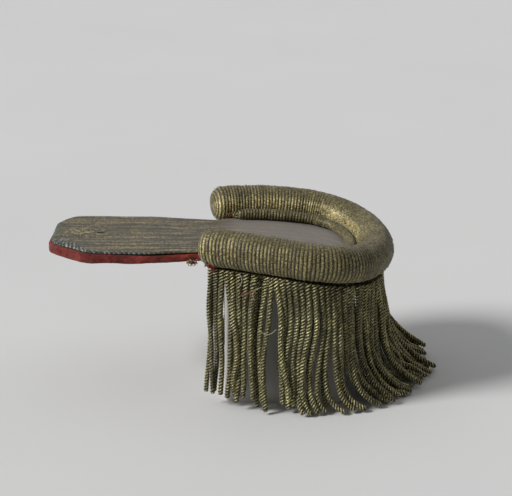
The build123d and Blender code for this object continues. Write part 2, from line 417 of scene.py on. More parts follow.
def threads(name, paths, radius, skin, stands_for, around=5, values=None):
    """Loose threads along several paths, as one piece, with any mesh values given per thread."""
    points, faces, first = [], [], 0
    for path in paths:
        made = thread_rings(path, radius, around)
        faces += tube_faces(len(path), around, first)
        first += len(made)
        points.append(made)
    spread = {}
    for key, row in (values or {}).items():
        spread[key] = np.concatenate([np.full(len(made), value) for made, value in zip(points, row)])
    piece(name, np.vstack(points), faces, skin, stands_for, spread)


def curl(start, way, length, bend, rng, step=0.3):
    """Points of a curly thread from a start, its heading turning at random by so much a step."""
    way = np.asarray(way, float) / np.linalg.norm(way)
    axis = rng.normal(size=3)
    path = [np.asarray(start, float)]
    for _ in range(int(length / step)):
        axis = axis / np.linalg.norm(axis) + 0.35 * rng.normal(size=3)
        way = way + bend * np.cross(axis / np.linalg.norm(axis), way)
        way /= np.linalg.norm(way)
        path.append(path[-1] + step * way)
    return np.array(path)


# Wound rolls round the crescent

RINGS_PER_TURN = 6
FELTED = 0.88


def roll_rings(offset, depth, radius, setback, pitch, end_round, domes, longer):
    """A roll's rings over its length and domed ends: run, size, centre, ways out and up, angle, end face."""
    last = half_run(offset) - setback
    corner = end_round * np.pi / 2
    face = radius - end_round
    reach = last - end_round + corner + face
    count = int(2 * reach / pitch * RINGS_PER_TURN) | 1
    along = np.linspace(-reach, reach, count)
    past = np.clip(np.abs(along) - (last - end_round), 0, None)
    bend = np.clip(past / end_round, 0, np.pi / 2)
    flat = np.clip(past - corner, 0, None)
    profile = radius - end_round * (1 - np.cos(bend)) - flat * 0.995
    run = np.sign(along) * (np.minimum(np.abs(along), last - end_round) + end_round * np.sin(bend))
    run += np.where(along < 0, -domes[0], domes[1]) * (1 - (profile / radius) ** 2) * (past > 0)
    run -= longer * rise(-along, last - 30, last)
    x, y, angle = plan(run, offset)
    z = height(x, depth)
    slope = -np.maximum(x - MOUTH_X, 0) / (z - STRAP_TOP + ARCH_RADIUS)
    outward = np.stack([np.cos(angle), np.sin(angle), np.zeros(count)], -1)
    tangent = np.stack([-np.sin(angle), np.cos(angle), -np.sin(angle) * slope], -1)
    tangent /= np.linalg.norm(tangent, axis=1)[:, None]
    upward = np.cross(outward, tangent)
    return along, profile, np.stack([x, y, z], -1), outward, upward, np.degrees(angle)[:, None], flat


def wound_roll(
    name, offset, depth, radius, setback, pitch, groove, around,
    end_round, domes, longer, painted_level, rubbed, stands_for, seed,
):
    """A roll wound with cord: a rib to each turn, felted on top and at the toe, with wound round ends."""
    rng = np.random.default_rng(seed)
    along, profile, centre, outward, upward, degrees, flat = roll_rings(
        offset, depth, radius, setback, pitch, end_round, domes, longer
    )
    count = len(along)
    theta = np.linspace(0, 2 * np.pi, around, endpoint=False)

    # Turns of the cord, which wander a little, and the rib that each makes
    turns = (along - along[0])[:, None] / pitch + 0.25 * np.sin(theta + 0.6)[None, :]
    turns = turns + theta[None, :] / (2 * np.pi)
    wander = wave_noise(np.stack([along, along * 0, along * 0], -1), 14, seed)[:, None] * 0.12
    turns = turns + wander
    rib = np.floor(turns).astype(int)
    part = turns - rib
    round_rib = np.sqrt(np.clip(1 - (2 * part - 1) ** 2, 0, 1))
    rib_size = rng.normal(0, 1, rib.max() + 2)
    rib_tone = rng.uniform(0, 1, rib.max() + 2)

    # Felting, which flattens the ribs round the toe and on top
    worn = rise(degrees, -56, -26) * (1 - rise(degrees, 62, 94))
    top = rise(np.sin(theta), 0.5, 0.95)[None, :] * (0.75 - 0.45 * rise(degrees, 98, 106))
    worn = np.maximum(worn, top)
    strength = 1 - FELTED * worn
    share = np.clip(profile / radius, 0.12, 1)[:, None]
    relief = groove * (round_rib - 1) * strength * share + 0.05 * rib_size[rib] * share * strength
    ring = profile[:, None] + relief
    points = (
        centre[:, None, :]
        + ring[..., None] * np.cos(theta)[None, :, None] * outward[:, None, :]
        + ring[..., None] * np.sin(theta)[None, :, None] * upward[:, None, :]
    ).reshape(-1, 3)

    # Small grain and larger lumps
    rub = wave_noise(points, 2.2, seed + 1)
    lump = wave_noise(points, 11, seed + 2)
    away = points - np.repeat(centre, around, axis=0)
    away /= np.maximum(np.linalg.norm(away, axis=1), 0.3)[:, None]
    fuzz = (0.05 * rub * (0.4 + worn.ravel()) + 0.10 * lump) * np.repeat(share[:, 0], around)
    points = np.vstack([points + away * fuzz[:, None], centre[[0, -1]]])

    # Height on the ribs, tone of each turn, and painted light: a painted highlight along the inner side,
    # painted shade on the top and on the outer side
    felt = np.maximum(worn, rise(flat, 0.2, 2.0)[:, None])
    rub = rub.reshape(count, around)
    crest = np.clip(round_rib**1.6 * (1 - FELTED * felt) + felt * (0.69 + 0.05 * rub), 0, 1)
    tone = np.clip(0.5 + (rib_tone[rib] - 0.5) * (1 - felt) + 0.08 * rub, 0, 1)
    inner = rise(-np.cos(theta), 0.64, 0.97)[None, :]
    outer = rise(np.cos(theta - np.radians(20)), 0.3, 1.0)[None, :]
    far_arm = rise(degrees, 84, 104)
    # Painted highlight in a band along the inner side, from the toe round the far arm and weaker there, over
    # a base level of painted light
    painted_light = painted_level + inner * rise(degrees, 0, 20) * (1 - 0.45 * far_arm) * rubbed
    # Painted shade along the top
    painted_light = painted_light - 0.13 * rise(np.sin(theta), 0.3, 0.95)[None, :]
    # Painted shade on the outer side, from the near arm's corner round the toe
    painted_light = painted_light - 0.14 * outer * rise(degrees, -75, -45) * (1 - rise(degrees, 30, 60))
    values = {
        "crest": np.append(crest.ravel(), (0.7, 0.7)),
        "tone": np.append(tone.ravel(), (0.6, 0.6)),
        "painted_light": np.append(painted_light.ravel(), (0.5, 0.5)),
    }
    piece(name, points, tube_faces(count, around), CORD, stands_for, values)


# The crescent's roll has its painted light at the neutral level and the inner highlight band; the inner roll
# is dimmed with painted shade and has no band
wound_roll(
    "crescent_roll_wound", 0, -ROLL_RISE, ROLL_RADIUS, 0, pitch=1.55, groove=0.5, around=72,
    end_round=ROLL_END_ROUND, domes=(1.9, 2.0), longer=1.2, painted_level=0.5, rubbed=1.0,
    stands_for=("crescent_roll",), seed=3,
)
wound_roll(
    "inner_roll_wound", -(ROLL_RADIUS + INNER_RADIUS + GAP), -INNER_RADIUS - GAP, INNER_RADIUS, INNER_SETBACK,
    pitch=1.5, groove=0.4, around=32, end_round=1.4, domes=(0.6, 0.6), longer=0.0, painted_level=0.38, rubbed=0.0,
    stands_for=("inner_roll",), seed=11,
)


def make_fuzz(count=2600):
    """Broken ends and small loops of thread that stand off the crescent's roll."""
    rng = np.random.default_rng(61)
    paths = []
    for _ in range(count):
        run = rng.uniform(-1, 1) * (half_run(0) - 1)
        theta = np.radians(rng.uniform(-70, 250))
        x, y, angle = (v[0] for v in plan(run))
        outward = np.array([np.cos(angle), np.sin(angle), 0])
        away = np.cos(theta) * outward + np.sin(theta) * np.array([0, 0, 1])
        foot = np.array([x, y, height(x, -ROLL_RISE)]) + away * (ROLL_RADIUS - 0.3)
        way = np.cross(away, rng.normal(size=3))
        way *= rng.uniform(0.35, 0.6) / np.linalg.norm(way)
        lift = rng.uniform(0.25, 0.55)
        paths.append(foot + np.outer((0, 1, 2, 3), way) + np.outer((0.1, lift, 1.1 * lift, 0.15), away))
    tones = rng.uniform(0.2, 1, len(paths))
    values = {"crest": tones * 0 + 0.9, "tone": tones, "painted_light": tones * 0 + 0.5}
    threads("roll_fuzz", paths, 0.07, CORD, ("crescent_roll",), around=3, values=values)


make_fuzz()


# Strap and field


def collar_side(corner, margin):
    """Rows of x and distance from the middle, from the strap's end round one corner to the mouth."""
    start = COLLAR_X + margin
    wide = COLLAR_HALF - margin
    corners = np.array([
        (start, 0.0),
        (start, corner.flat * COLLAR_HALF),
        (start + corner.cut * COLLAR_HALF, wide),
        (start + COLLAR_WIDE, wide),
        (MOUTH_X, WAIST - margin),
    ])
    rows = []
    for before, at, after in zip(corners, corners[1:], corners[2:]):
        into = (at - before) / np.linalg.norm(at - before)
        out = (after - at) / np.linalg.norm(after - at)
        back = COLLAR_ROUND * np.tan(np.arccos(np.clip(into @ out, -1, 1)) / 2)
        for t in np.linspace(0, 1, 9):
            rows.append((1 - t) ** 2 * (at - into * back) + 2 * t * (1 - t) * at + t**2 * (at + out * back))
    return np.vstack([rows, corners[-1:]])


def field_side(offset, margin):
    """Rows of x and distance from the middle, from the mouth to the toe, inside an offset."""
    run = np.linspace(half_run(offset), 2.0, 90)
    x, y, _ = plan(run, offset)
    neck = [(MOUTH_X + 0.05, WAIST - margin), (x[0] - 0.05, WAIST - margin)]
    return np.vstack([neck, np.stack([x, y], -1)])


def outline(margin, offset, also=(), apart=0.85):
    """Stations of x, near edge and far edge over the strap and field, about that far apart at most."""
    field = field_side(offset, margin)
    near, far = [np.vstack([collar_side(corner, margin), field]) for corner in COLLAR_CORNERS]
    x = np.concatenate([near[:, 0], far[:, 0], np.arange(near[0, 0], near[-1, 0], apart), also])
    x = np.unique(np.round(x / 0.05) * 0.05)
    return np.stack([x, -np.interp(x, *near.T), np.interp(x, *far.T)], -1)


def slab(stations, top, bottom, across, edge_round, relief, underside=None, slot=None):
    """Closed slab over stations, between two depths, with rounded edges, relief and any slot."""
    edges = np.array([0, 0.003, 0.008, 0.016])
    share = np.concatenate([edges, np.linspace(0.028, 0.972, across), 1 - edges[::-1]])
    across, count = len(share), len(stations)
    x = np.repeat(stations[:, :1], across, axis=1)
    near, far = stations[:, 1:2], stations[:, 2:3]
    y = near + (far - near) * share
    keep = np.ones((count - 1, across - 1), bool)
    if slot:
        i0, i1 = (np.argmin(np.abs(stations[:, 0] - slot[0] - half)) for half in (-slot[2] / 2, slot[2] / 2))
        j0, j1 = (np.argmin(np.abs(y[i0] - slot[1] - half)) for half in (-slot[3] / 2, slot[3] / 2))
        y[i0 : i1 + 1, j0], y[i0 : i1 + 1, j1] = slot[1] - slot[3] / 2, slot[1] + slot[3] / 2
        keep[i0:i1, j0:j1] = False
    inset = np.minimum(np.minimum(y - near, far - y), x - x[0, 0])
    drop = edge_round - np.sqrt(np.clip(edge_round**2 - np.clip(edge_round - inset, 0, None) ** 2, 0, None))
    upper = np.stack([x, y, height(x, top) - drop + relief(x, y)], -1)
    lower = np.stack([x, y, height(x, bottom) + 0.7 * drop], -1)
    if underside:
        lower[..., 2] += underside(x, y)
    points = np.vstack([upper.reshape(-1, 3), lower.reshape(-1, 3)])
    n = count * across
    grid = np.arange(n).reshape(count, across)
    cells = np.stack([grid[:-1, :-1], grid[1:, :-1], grid[1:, 1:], grid[:-1, 1:]], -1)
    upper_faces = cells[keep]
    rims = [np.concatenate([grid[0, :], grid[1:, -1], grid[-1, -2::-1], grid[-2:0:-1, 0]])]
    if slot:
        sides = [grid[i0:i1, j0], grid[i1, j0:j1], grid[i1:i0:-1, j1], grid[i0, j1:j0:-1]]
        rims.append(np.concatenate(sides))
    walls = [np.stack([rim, np.roll(rim, -1), np.roll(rim, -1) + n, rim + n], -1) for rim in rims]
    return points, [upper_faces, upper_faces[:, ::-1] + n, *walls]


def near_edge(x, y, margin):
    """Distance of points from the strap's near edge, and the length along that edge beside them."""
    rows = collar_side(COLLAR_CORNERS[0], margin) * (1, -1)
    edge, at = evenly(rows, 0.5)
    away = np.hypot(x[:, None] - edge[None, :, 0], y[:, None] - edge[None, :, 1])
    nearest = np.argmin(away, axis=1)
    return away[np.arange(len(x)), nearest], at[nearest]


def flat_noise(x, y, scale, seed, squash=1.0):
    """Wave noise over a plan, drawn out along x where squash is under 1."""
    rows = np.stack([x.ravel(), y.ravel(), 0 * x.ravel()], -1) * (squash, 1, 1)
    return wave_noise(rows, scale, seed).reshape(x.shape)


def lace_wear(points, end):
    """Values for the lace's material at its points, with the x where its end lies."""
    x, y, _ = points.T
    rough = wave_noise(points, 3.5, 8)

    # Dark braid along the near edge, widest at the corner
    edge, run = near_edge(x, y, LACE_MARGIN)
    wide = 3.0 + 6.0 * (1 - rise(x, -104, -90)) - 1.5 * rise(x, -80, -60)
    stain = (1 - rise(edge + 0.8 * rough, 0.55 * wide, wide)) * (1 - 0.75 * rise(x, -72, -50))
    stain *= rise(-y, 6, 12)

    # Green stripe along the strap, and a green rim on its end
    stripe = np.exp(-(((y + 12.5) / 0.9) ** 2)) * rise(x, -102, -98) * (1 - rise(x, -66, -50))
    rim = (1 - rise(x - end, 1.0, 3.5)) * 0.7 * rise(y, -12, 0) * (1 - rise(y, 14, 22))

    # Straw-coloured wear, and painted shade in and round the slit
    worn = np.exp(-(((x + 97) / 9) ** 2 + ((y - 1) / 7) ** 2)) * rise(rough, -0.6, 1.0)
    slit_x, slit_y = (x - SLOT_X) / (0.62 * SLOT_LENGTH), (y - SLOT_Y) / (0.75 * SLOT_WIDTH)
    return {
        "stain": np.clip(stain, 0, 1),
        "hatch": 2 * np.pi * (run / 2.3 + edge / 2.6) + 0.8 * rough,
        "slit": np.exp(-(slit_x**4) - slit_y**4),
        "green": np.clip(1.1 * stripe * rise(rough, -1.2, 0.2) + rim, 0, 1),
        "straw": np.clip(0.8 * worn, 0, 1),
        "faded": 0.75 * rise(x, MOUTH_X - 2, MOUTH_X + 14),
    }


def make_lace():
    """The woven lace over the strap and the field, crowned by the padding under it."""
    slot_ends = (SLOT_X - SLOT_LENGTH / 2, SLOT_X + SLOT_LENGTH / 2)
    stations = outline(LACE_MARGIN, -ROLL_RADIUS + 0.2, also=slot_ends)
    stations[:, 1] += 0.9 * (1 - rise(stations[:, 0], COLLAR_X + 10, COLLAR_X + 26))

    def relief(x, y):
        waves = 0.12 * flat_noise(x, y, 26, 6)
        ripple = 0.05 * flat_noise(x, y, 4, 7, squash=0.25)
        crown = 1.5 * rise(x, MOUTH_X - 12, MOUTH_X + 12) * np.clip(1 - (y / 27) ** 2, 0, 1)
        return waves + ripple + crown * rise(TOE_REACH - 16 - x, 0, 22)

    slot = (SLOT_X, SLOT_Y, SLOT_LENGTH, SLOT_WIDTH)
    points, faces = slab(stations, 0, LACE_THICKNESS, 74, 0.7, relief, slot=slot)
    wear = lace_wear(points[: len(points) // 2], stations[0, 0])
    values = {key: np.concatenate([value, value]) for key, value in wear.items()}
    lace = piece("strap_lace_woven", points, faces, LACE, ("strap_lace",), values)


def make_pad():
    """The padded red cloth under the lace."""

    def dip(x, y):
        slack = rise(x, -84, -60) * rise(MOUTH_X - x, 0, 4) * rise(-y, 22, 27)
        return -1.6 * np.exp(-(((x - SLOT_X) / 2.0) ** 2) - ((y - SLOT_Y) / 1.2) ** 2) - 0.7 * slack

    def sag(x, y):
        strap = rise(MOUTH_X - 1 - x, 0, 10)
        end = 0.5 * (1 - rise(x, COLLAR_X + 1, COLLAR_X + 10))
        return strap * (0.25 * flat_noise(x, y, 16, 22) - 0.6) + end

    stations = outline(0, -ROLL_RADIUS)
    near_end = 1 - rise(stations[:, 0], COLLAR_X + 12, COLLAR_X + 30)
    stations[:, 1] -= 0.5 * near_end
    points, faces = slab(stations, CLOTH_TOP, CLOTH_BOTTOM, 60, 1.1, dip, sag)
    at_end = 1 - rise(points[:, 0], COLLAR_X, COLLAR_X + 8)
    points[:, 0] -= 0.4 * at_end * rise(6 - points[:, 1], 0, 14)
    wool = wave_noise(points, 3.0, 23) * 0.12
    points[:, 1] += np.sign(points[:, 1]) * wool
    shade = np.exp(-(((points[:, 0] - SLOT_X) / 2.4) ** 2) - ((points[:, 1] - SLOT_Y) / 1.6) ** 2)
    pad = piece("cloth_pad", points, faces, RED, ("cloth_backing",), {"shade": shade})


def make_flange():
    """The red cloth's thin flange under the crescent."""

    def fluff(x, y):
        return 0.15 * flat_noise(x, y, 5, 21)

    rim = HEAD_OFFSET - 3.9
    run = np.linspace(half_run(rim), 2.0, 90)
    x, y, _ = plan(run, rim)
    stations = np.stack([x, -y, y], -1)
    points, faces = slab(stations, UNDER_ROLL, FLANGE_BOTTOM, 40, 0.3, lambda x, y: 0 * x, fluff)
    values = {"shade": np.zeros(len(points))}
    flange = piece("cloth_flange", points, faces, RED, ("cloth_backing",), values)


make_lace()
make_pad()
make_flange()


# Fringe

# How strands lie, by plan angle in degrees: the way their feet head, the share of their drop that
# hangs straight, how high their tips lie, and their length
Lie = namedtuple("Lie", "angle heading straight lift length")
LIES = np.array([
    (-110, -130, 1.00, 0.0, 62.6),
    (-103, -120, 1.00, 0.0, 63.2),
    (-96, -80, 0.97, 0.0, 63.2),
    (-85, -20, 0.88, 0.0, 65.5),
    (-72, -8, 0.80, 0.0, 66.5),
    (-64, -4, 0.82, 0.0, 66.5),
    (-57, 12, 0.56, 0.0, 66.0),
    (-45, 18, 0.52, 0.0, 66.0),
    (-25, 24, 0.50, 0.0, 66.0),
    (-8, 20, 0.46, 0.0, 66.0),
    (8, 14, 0.40, 0.0, 65.3),
    (20, 12, 0.28, 0.6, 65.2),
    (30, 9, 0.16, 1.8, 66.4),
    (42, 12, 0.16, 1.8, 67.0),
    (56, 32, 0.40, 0.0, 66.0),
    (72, 55, 0.75, 0.0, 65.5),
    (90, 75, 0.90, 0.0, 65.5),
    (110, 110, 1.00, 0.0, 64.5),
])

# How far near strands drift toward the toe, by their heads' x, at three shares of their length
DRIFTS = np.array([
    (-34.3, -0.9, 0.6, 0.6),
    (-31.5, -0.8, 0.0, -1.2),
    (-28.8, -0.8, -2.0, -3.4),
    (-26.3, 1.6, 1.8, -0.6),
    (-24.5, 1.4, 1.4, -0.8),
    (-21.0, -0.4, -0.2, -1.6),
    (-17.5, -1.4, -1.2, -2.0),
    (-13.7, -1.7, -1.9, -0.6),
    (-7.9, -2.6, -4.4, -3.4),
    (-6.4, 0.3, -1.6, 0.8),
    (-4.0, 3.0, -0.2, 2.4),
    (-0.9, 1.8, -0.4, 1.0),
    (2.0, 0.8, -1.2, -0.2),
    (4.9, 1.3, -0.9, -0.8),
    (7.7, 1.8, -1.6, -1.8),
    (10.8, 1.0, -2.2, -2.0),
    (13.8, 1.5, -1.8, -2.0),
    (16.7, 2.1, -0.8, -2.4),
    (19.3, 1.6, -0.9, -2.0),
    (21.3, 0.6, -0.8, -1.5),
    (24.1, 0.2, -0.6, -1.0),
    (27.4, 1.4, 2.0, 2.6),
    (30.4, 0.6, 1.4, 2.0),
    (35.0, 0.0, 0.0, 0.0),
])
DRIFT_SHARES = (0.0, 0.3, 0.62, 1.0)
STRAND_RADIUS, STRAND_PITCH, STRAND_STEP = 1.36, 2.85, 2.0
LAY_LENGTH, RING_STEP = 4.5, 0.42

# The inner row has fewer strands, and none between these runs, where the photograph shows a gap
INNER_COUNT = 38
GAP_RUNS = (-98.5, -93.0)


def bend_down(s, drop, straight, length):
    """How far down and out a strand is at lengths s: straight, round to its tip's height, then level."""
    if drop >= length:
        return s, 0 * s
    down = straight * drop
    rest, left = drop - down, length - down
    low, high = 1e-3, np.pi / 2
    for _ in range(30):
        turn = (low + high) / 2
        low, high = (turn, high) if left * np.sin(turn) > rest * turn else (low, turn)
    bend = max(rest, 0.5) / np.sin(turn)
    arc = np.clip((s - down) / bend, 0, turn)
    tail = np.clip(s - down - bend * turn, 0, None)
    return np.minimum(s, down) + bend * np.sin(arc), bend * (1 - np.cos(arc)) + tail


def wave(s, rng):
    """A slow wave along a strand."""
    return np.sin(2 * np.pi * s / rng.uniform(30, 70) + rng.uniform(0, 6.3))


def hang(run, offset, shorter, rng):
    """A strand's rest shape, as points every step from its head, and the way across its foot."""
    x, y, angle = (v[0] for v in plan(run, offset))
    degrees = np.degrees(angle)
    lie = Lie(*(np.interp(degrees, LIES[:, 0], column) for column in LIES.T))
    heading = np.radians(lie.heading + rng.normal(0, 6))
    straight = np.clip(lie.straight + rng.normal(0, 0.05), 0.02, 1)
    length = lie.length - shorter
    top = height(x, UNDER_ROLL + 0.2)
    drop = top - FLOOR_CLEARANCE - STRAND_RADIUS - max(lie.lift + rng.normal(0, 0.3) * lie.lift, 0)
    s = np.arange(0, length + STRAND_STEP / 2, STRAND_STEP)
    fall, out = bend_down(s, drop, straight, length)
    side = np.array([-np.sin(heading), np.cos(heading)])
    ahead = np.array([np.cos(heading), np.sin(heading)])
    normal = np.array([np.cos(angle), np.sin(angle)])
    along = np.array([-np.sin(angle), np.cos(angle)])

    # Leans and waves, less of them on the near side, where the drifts follow the photograph
    lean_out = rng.normal(0.2, 0.6)
    loose = 0.4 if y < -25 else 1.0
    lean_side = rng.normal(0, 1.5) * loose
    sway = loose * rng.uniform(0.2, 1.1) * wave(s, rng)
    sway_out = rng.uniform(0.1, 0.9) * wave(s, rng)
    grip = rise(s, 0, 18)
    share = s / length
    toe = rise(degrees, -30, 0) * (1 - rise(degrees, 42, 62))
    sway_out += 1.8 * toe * rise(share, 0, 0.32)
    front = rise(-y, 8, 20)
    drifts = [0.0, *(front * np.interp(x, DRIFTS[:, 0], column) for column in DRIFTS.T[1:])]
    for start, end, before, after in zip(DRIFT_SHARES, DRIFT_SHARES[1:], drifts, drifts[1:]):
        sway += (after - before) * rise(share, start, end)

    # About one strand in six crosses its neighbours, outside them
    if rng.uniform() < 0.16:
        sway += rng.choice((-1, 1)) * rng.uniform(2, 4.5) * rise(share, 0.05, 0.95)
        sway_out += 1.6 * rise(share, 0.05, 0.3)

    flat = np.array([x, y]) + out[:, None] * ahead
    flat += (lean_side * share + sway * grip)[:, None] * along
    flat += (lean_out * share + sway_out * grip)[:, None] * normal
    return np.column_stack([flat, top - fall]), side


# How settle works: its rounds, how near points are looked at, how near they may lie as a share of
# their radii, the share of an overlap mended in a round, the longest such move, and the smoothing
ROUNDS, LOOK_WITHIN, TOUCH, PUSH, LONGEST_PUSH, SMOOTHING = 70, 4.5, 0.93, 0.35, 0.5, 0.12


def near_pairs(points, first, count):
    """Pairs of points of different strands that lie near each other."""
    pairs = []
    for k in range(len(first)):
        own = slice(first[k], first[k] + count[k])
        rest = slice(first[k] + count[k], None)
        gap = np.linalg.norm(points[own, None, :] - points[None, rest, :], axis=2)
        i, j = np.nonzero(gap < LOOK_WITHIN)
        pairs.append(np.stack([i + first[k], j + first[k] + count[k]]))
    return np.hstack(pairs)


def leave_block(points, radius):
    """Moves points that are in the block out through its nearer side."""
    reach_x = BLOCK_HALF[0] + radius - np.abs(points[:, 0])
    reach_y = BLOCK_HALF[1] + radius - np.abs(points[:, 1])
    inside = (reach_x > 0) & (reach_y > 0)
    by_y = inside & (reach_y <= reach_x)
    by_x = inside & ~by_y
    points[by_y, 1] += np.sign(points[by_y, 1]) * reach_y[by_y]
    points[by_x, 0] += np.sign(points[by_x, 0]) * reach_x[by_x]


def settle(chains, radii):
    """Moves the strands' points apart and off the floor and block, keeping each strand's length."""
    count = [len(c) for c in chains]
    points = np.vstack(chains)
    owner = np.repeat(np.arange(len(chains)), count)
    radius = np.repeat(radii, count)
    first = np.concatenate([[0], np.cumsum(count)[:-1]])
    fixed = np.zeros(len(points), bool)
    fixed[first] = fixed[first + 1] = True
    link = np.flatnonzero(owner[1:] == owner[:-1])
    even, odd = link[::2], link[1::2]
    inner = np.flatnonzero((owner[2:] == owner[:-2])) + 1
    for step in range(ROUNDS):
        if step % 10 == 0:
            i, j = near_pairs(points, first, count)
        apart = points[j] - points[i]
        gap = np.linalg.norm(apart, axis=1)
        need = (radius[i] + radius[j]) * TOUCH - gap
        hit = need > 0
        push = PUSH * (need[hit] / np.maximum(gap[hit], 0.05))[:, None] * apart[hit]
        move = np.zeros_like(points)
        np.add.at(move, i[hit], -push)
        np.add.at(move, j[hit], push)
        size = np.linalg.norm(move, axis=1)
        move *= np.minimum(1, LONGEST_PUSH / np.maximum(size, 1e-6))[:, None]
        points[~fixed] += move[~fixed]
        smooth = (points[inner - 1] + points[inner + 1]) / 2 - points[inner]
        free = ~fixed[inner]
        points[inner[free]] += SMOOTHING * smooth[free]
        for group in (even, odd, even, odd):
            a, b = group, group + 1
            run = points[b] - points[a]
            size = np.linalg.norm(run, axis=1)
            pull = ((size - STRAND_STEP) / np.maximum(size, 1e-6))[:, None] * run
            both = ~fixed[a]
            points[a[both]] += 0.5 * pull[both]
            points[b] -= np.where(both, 0.5, 1.0)[:, None] * pull * (~fixed[b])[:, None]
        points[:, 2] = np.maximum(points[:, 2], FLOOR_CLEARANCE + radius)
        leave_block(points, radius)
    return np.split(points, np.cumsum(count)[:-1])


def resample(points, step):
    """Points every step along a smooth curve through a strand's points."""
    padded = np.vstack([2 * points[0] - points[1], points, 2 * points[-1] - points[-2]])
    a, b, c, d = padded[:-3], padded[1:-2], padded[2:-1], padded[3:]
    fine = []
    for t in np.linspace(0, 1, 6)[:-1]:
        square, cube = (2 * a - 5 * b + 4 * c - d) * t**2, (3 * b - a - 3 * c + d) * t**3
        fine.append(0.5 * (2 * b + (c - a) * t + square + cube))
    curve = np.vstack([np.stack(fine, 1).reshape(-1, 3), points[-1:]])
    return evenly(curve, step)[0]


# Section of a cord: angles over one ply, with the share of the radius and the crest value at each
PLIES = 3
PLY_ANGLES = np.radians([0, 28, 60, 92])
PLY_SHARE = np.array([1.03, 0.88, 0.46, 0.88])
PLY_CREST = np.array([1.0, 0.52, 0.0, 0.52])
SECTION_POINTS = PLIES * len(PLY_ANGLES)


def twisted_cord(path, side, radius, phase, lay):
    """Rings of a cord of several plies twisted along a path, with a crest value to each point."""
    tangent = np.gradient(path, axis=0)
    tangent /= np.linalg.norm(tangent, axis=1)[:, None]
    side = np.array([side[0], side[1], 0.0])
    across = side - (tangent @ side)[:, None] * tangent
    across /= np.linalg.norm(across, axis=1)[:, None]
    outward = np.cross(tangent, across)
    n = len(path)
    alpha = np.concatenate([PLY_ANGLES + k * 2 * np.pi / PLIES for k in range(PLIES)])
    share = np.tile(PLY_SHARE, PLIES)
    run = np.arange(n) * RING_STEP
    size = radius * (1.0 + 0.28 * (1 - rise(run, 1.5, 9.0)))
    size[-1], size[-2] = 0.72 * radius, 0.93 * radius
    angle = alpha[None, :] + (phase + 2 * np.pi * run / lay)[:, None]
    ring = size[:, None] * share[None, :]
    points = (
        path[:, None, :]
        + (ring * np.cos(angle))[..., None] * across[:, None, :]
        + (ring * np.sin(angle))[..., None] * outward[:, None, :]
    )
    points = np.vstack([points.reshape(-1, 3), path[:1], path[-1:] + tangent[-1:] * 0.15])
    crest = np.append(np.tile(PLY_CREST, n * PLIES), (0.4, 0.4))
    return points, crest


def strand_rows(rng):
    """Run, offset, shortening and row of each strand, the outer row first."""
    rows = []
    last = half_run(HEAD_OFFSET) - 2.5
    count = round(2 * last / STRAND_PITCH)
    for k in range(count + 1):
        run = last * (2 * k / count - 1) + rng.normal(0, 0.18)
        rows.append((run, HEAD_OFFSET + rng.normal(0, 0.25), rng.normal(0.4, 1.5), "outer"))
    last = half_run(-0.6) - 1.0
    for k in range(INNER_COUNT + 1):
        run = last * (2 * k / INNER_COUNT - 1) + rng.normal(0, 0.9)
        if not GAP_RUNS[0] < run < GAP_RUNS[1]:
            rows.append((run, -0.5 + rng.normal(0, 0.3), 2 + rng.normal(0, 2.0), "inner"))
    return rows


def strand_piece(run, row):
    """Name of the piece that a strand belongs to."""
    if row == "inner":
        return "fringe_behind"
    if run < -30:
        return "fringe_near"
    return "fringe_toe" if run < 42 else "fringe_far"


def make_fringe():
    """All the strands, in a piece for each side, one for the toe and one for the row behind them."""
    rng = np.random.default_rng(29)
    rows = strand_rows(rng)
    chains, sides = zip(*(hang(run, offset, shorter, rng) for run, offset, shorter, _ in rows))
    radii = np.array([STRAND_RADIUS * rng.uniform(0.93, 1.06) for _ in rows])
    chains = settle(list(chains), radii)
    groups = {}
    for (run, _, _, row), chain, side, radius in zip(rows, chains, sides, radii):
        phase, lay = rng.uniform(0, 6.3), LAY_LENGTH * rng.uniform(0.93, 1.08)
        points, crest = twisted_cord(resample(chain, RING_STEP), side, radius, phase, lay)
        tone = np.clip(rng.normal(0.5, 0.2) + 0.12 * wave_noise(points, 9, 41), 0, 1)
        groups.setdefault(strand_piece(run, row), []).append((points, crest, tone))
    for name, cords in groups.items():
        faces, first = [], 0
        for points, _, _ in cords:
            faces += tube_faces((len(points) - 2) // SECTION_POINTS, SECTION_POINTS, first)
            first += len(points)
        points, crest, tone = (np.concatenate(parts) for parts in zip(*cords))
        values = {"crest": crest, "tone": tone}
        piece(name, points, faces, STRAND, ("fringe",), values)


def make_head():
    """The ribbed band that the cords hang from."""
    last = half_run(HEAD_OFFSET) - 2.5
    run = np.linspace(-last, last, 420)
    x, y, angle = plan(run, HEAD_OFFSET)
    normal = np.stack([np.cos(angle), np.sin(angle)], -1)
    rib = 0.18 * np.abs(np.sin(np.pi * run / 1.3))
    loop = [(-1.6, 0.0), (-0.3, 0.0), (-0.3, 0.5), (-1.6, 0.5)]
    rings = []
    for k in range(len(run)):
        for out, down in loop:
            place = np.array([x[k], y[k]]) + normal[k] * (out - rib[k])
            rings.append((*place, height(x[k], UNDER_ROLL + 0.1 + down * (HEAD_HEIGHT - 0.4))))
    ends = [np.mean(rings[:4], axis=0), np.mean(rings[-4:], axis=0)]
    points = np.vstack([rings, ends])
    values = {"crest": np.full(len(points), 0.3), "tone": np.full(len(points), 0.3)}
    piece("fringe_head", points, tube_faces(len(run), 4), STRAND, ("fringe",), values)


make_fringe()
make_head()


# Loose threads and tufts

